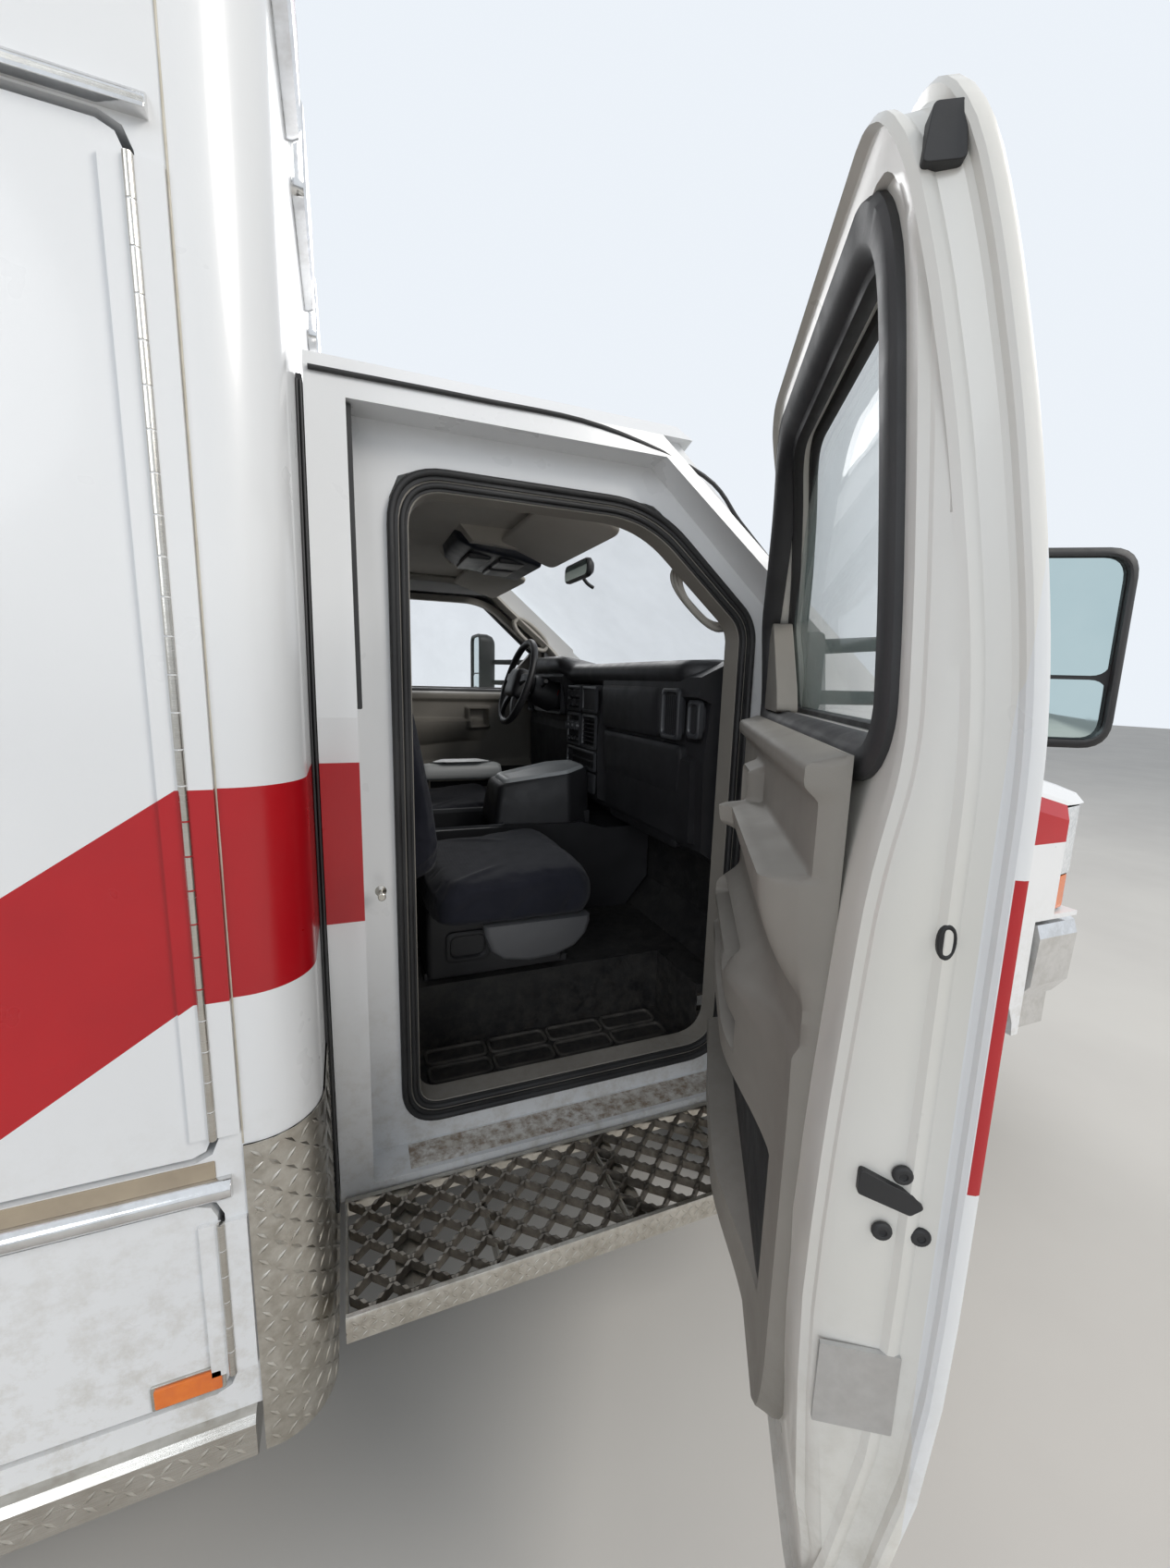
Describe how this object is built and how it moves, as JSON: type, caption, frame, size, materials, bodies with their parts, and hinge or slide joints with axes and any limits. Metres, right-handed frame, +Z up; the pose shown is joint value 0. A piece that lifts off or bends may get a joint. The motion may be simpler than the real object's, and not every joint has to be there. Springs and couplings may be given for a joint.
{
  "type": "ambulance",
  "caption": "Box-bodied ambulance on a cutaway van cab with dual rear wheels, opening cab, side, rear and locker doors, and steering front wheels.",
  "frame": {"origin": "on the ground, on the centreline, below the rear axle", "axes": "+X forward, +Y to the vehicle's left, +Z up"},
  "size_m": [6.779, 3.2545, 2.77],
  "materials": {
    "frame_black": "satin black",
    "cast_metal": "rough",
    "exhaust_steel": "dull",
    "floor_rubber": "matte black mat over painted steel",
    "white_paint": "gloss white",
    "grey_plastic": "matte dark grey",
    "lamp_lens": "clear and coloured lenses",
    "bumper_chrome": "bright",
    "clear_glass": "clear",
    "tinted_glass": "dark tint",
    "dash_plastic": "moulded black",
    "seat_fabric": "woven dark navy",
    "lining_fabric": "grey beige",
    "tread_aluminium": "bright tread plate",
    "sheet_aluminium": "mill finish",
    "interior_panel": "laminate",
    "rim_steel": "silver",
    "tyre_rubber": "black",
    "trim_plastic": "grained grey beige",
    "mirror_plastic": "black"
  },
  "bodies": {
    "root": {"chassis_frame": "frame_black", "powertrain": "cast_metal", "rear_axle": "cast_metal", "suspension": "frame_black", "fuel_tank": "frame_black", "exhaust": "exhaust_steel", "cab_floor": "floor_rubber", "cab_sides": "white_paint", "cab_roof": "white_paint", "hood": "white_paint", "front_fenders": "white_paint", "grille": "grey_plastic", "headlamps": "lamp_lens", "front_bumper": "bumper_chrome", "windshield": "clear_glass", "dashboard": "dash_plastic", "centre_console": "dash_plastic", "cab_seats": "seat_fabric", "headliner": "lining_fabric", "running_boards": "tread_aluminium", "module_floor": "sheet_aluminium", "module_side_walls": "white_paint", "module_end_walls": "white_paint", "module_roof": "white_paint", "compartments": "sheet_aluminium", "module_interior": "interior_panel", "module_trim": "tread_aluminium", "module_lamps": "lamp_lens", "rear_step": "tread_aluminium"},
    "knuckle_left": {"knuckle_left": "cast_metal"},
    "front_wheel_left": {"front_rim_left": "rim_steel", "front_tyre_left": "tyre_rubber"},
    "rear_wheels_left": {"rear_rims_left": "rim_steel", "rear_tyres_left": "tyre_rubber"},
    "rear_door_left": {"rear_door_left": "white_paint", "rear_door_glass_left": "tinted_glass"},
    "knuckle_right": {"knuckle_right": "cast_metal"},
    "front_wheel_right": {"front_rim_right": "rim_steel", "front_tyre_right": "tyre_rubber"},
    "rear_wheels_right": {"rear_rims_right": "rim_steel", "rear_tyres_right": "tyre_rubber"},
    "rear_door_right": {"rear_door_right": "white_paint", "rear_door_glass_right": "tinted_glass"},
    "steering_wheel": {"steering_wheel": "dash_plastic"},
    "passenger_door": {"passenger_door": "white_paint", "passenger_door_trim": "trim_plastic", "passenger_door_glass": "clear_glass", "passenger_door_mirror": "mirror_plastic"},
    "driver_door": {"driver_door": "white_paint", "driver_door_trim": "trim_plastic", "driver_door_glass": "clear_glass", "driver_door_mirror": "mirror_plastic"},
    "entry_door": {"entry_door": "white_paint", "entry_door_glass": "tinted_glass"},
    "right_upper_door": {"right_upper_door": "white_paint"},
    "right_lower_door": {"right_lower_door": "white_paint"},
    "right_rear_door": {"right_rear_door": "white_paint"},
    "left_front_door": {"left_front_door": "white_paint"},
    "left_middle_door": {"left_middle_door": "white_paint"},
    "left_rear_door": {"left_rear_door": "white_paint"}
  },
  "joints": [
    {"name": "steering_left", "type": "hinge", "parent": "root", "child": "knuckle_left", "pos_m": [4.039, 0.78, 0.372], "axis": [0, 0, 1], "range_deg": [-35, 35]},
    {"name": "front_roll_left", "type": "hinge", "parent": "knuckle_left", "child": "front_wheel_left", "pos_m": [4.039, 0.86, 0.372], "axis": [0, 1, 0], "continuous": true},
    {"name": "rear_roll_left", "type": "hinge", "parent": "root", "child": "rear_wheels_left", "pos_m": [0, 0.895, 0.372], "axis": [0, 1, 0], "continuous": true},
    {"name": "rear_door_swing_left", "type": "hinge", "parent": "root", "child": "rear_door_left", "pos_m": [-1.6685, 0.6265, 1.553], "axis": [0, 0, -1], "range_deg": [0, 150]},
    {"name": "steering_right", "type": "hinge", "parent": "root", "child": "knuckle_right", "pos_m": [4.039, -0.78, 0.372], "axis": [0, 0, 1], "range_deg": [-35, 35]},
    {"name": "front_roll_right", "type": "hinge", "parent": "knuckle_right", "child": "front_wheel_right", "pos_m": [4.039, -0.86, 0.372], "axis": [0, 1, 0], "continuous": true},
    {"name": "rear_roll_right", "type": "hinge", "parent": "root", "child": "rear_wheels_right", "pos_m": [0, -0.895, 0.372], "axis": [0, 1, 0], "continuous": true},
    {"name": "rear_door_swing_right", "type": "hinge", "parent": "root", "child": "rear_door_right", "pos_m": [-1.6685, -0.6265, 1.553], "axis": [0, 0, 1], "range_deg": [0, 150]},
    {"name": "wheel_turn", "type": "hinge", "parent": "root", "child": "steering_wheel", "pos_m": [3.252, 0.42, 1.492], "axis": [-0.9532, 0, 0.3024], "range_deg": [-490, 490]},
    {"name": "passenger_door_swing", "type": "hinge", "parent": "root", "child": "passenger_door", "pos_m": [3.545, -0.978, 1.2], "axis": [0, 0, 1], "range_deg": [-59, 11]},
    {"name": "driver_door_swing", "type": "hinge", "parent": "root", "child": "driver_door", "pos_m": [3.545, 0.978, 1.2], "axis": [0, 0, -1], "range_deg": [0, 70]},
    {"name": "right_upper_door_swing", "type": "hinge", "parent": "root", "child": "right_upper_door", "pos_m": [2.3735, -1.228, 1.4505], "axis": [0, 0, 1], "range_deg": [0, 95]},
    {"name": "right_lower_door_swing", "type": "hinge", "parent": "root", "child": "right_lower_door", "pos_m": [2.3735, -1.228, 0.593], "axis": [0, 0, 1], "range_deg": [0, 95]},
    {"name": "entry_door_swing", "type": "hinge", "parent": "root", "child": "entry_door", "pos_m": [1.6645, -1.228, 1.2525], "axis": [0, 0, 1], "range_deg": [0, 95]},
    {"name": "right_rear_door_swing", "type": "hinge", "parent": "root", "child": "right_rear_door", "pos_m": [-0.6355, -1.228, 1.2525], "axis": [0, 0, 1], "range_deg": [0, 95]},
    {"name": "left_front_door_swing", "type": "hinge", "parent": "root", "child": "left_front_door", "pos_m": [2.3735, 1.228, 1.2525], "axis": [0, 0, -1], "range_deg": [0, 95]},
    {"name": "left_middle_door_swing", "type": "hinge", "parent": "root", "child": "left_middle_door", "pos_m": [1.6445, 1.228, 0.842], "axis": [0, 0, -1], "range_deg": [0, 95]},
    {"name": "left_rear_door_swing", "type": "hinge", "parent": "root", "child": "left_rear_door", "pos_m": [-1.4845, 1.228, 0.842], "axis": [0, 0, 1], "range_deg": [0, 95]}
  ],
  "couplings": [
    {"joint": "steering_right", "follows": "steering_left", "ratio": 1},
    {"joint": "wheel_turn", "follows": "steering_left", "ratio": 14}
  ]
}
